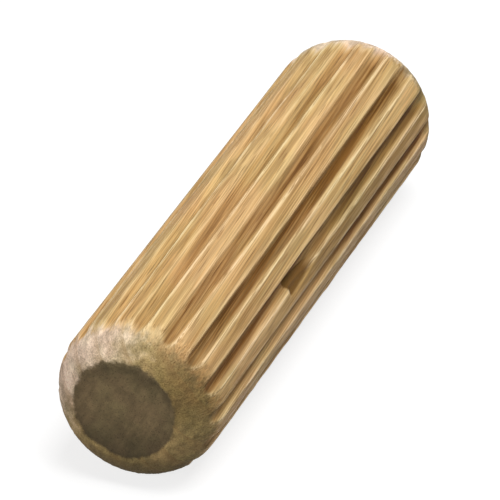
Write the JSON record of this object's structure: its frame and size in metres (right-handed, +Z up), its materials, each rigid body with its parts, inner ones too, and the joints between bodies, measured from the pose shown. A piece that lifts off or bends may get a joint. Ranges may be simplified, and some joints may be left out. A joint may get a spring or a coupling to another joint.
{
  "type": "dowel pin",
  "caption": "Fluted wooden dowel pin: a round shank with straight flutes, rounded noses and flat sawn ends, glued into drilled holes to join two boards.",
  "frame": {"origin": "on the pin's axis, midway between its two sawn faces", "axes": "+X along the pin's axis; +Z up as it lies on two of its lands, with one flute straight below the axis and one straight above it"},
  "size_m": [0.04, 0.01, 0.01],
  "materials": {
    "birch": "raw, unsanded"
  },
  "bodies": {
    "root": {"dowel_pin": "birch"}
  },
  "joints": []
}
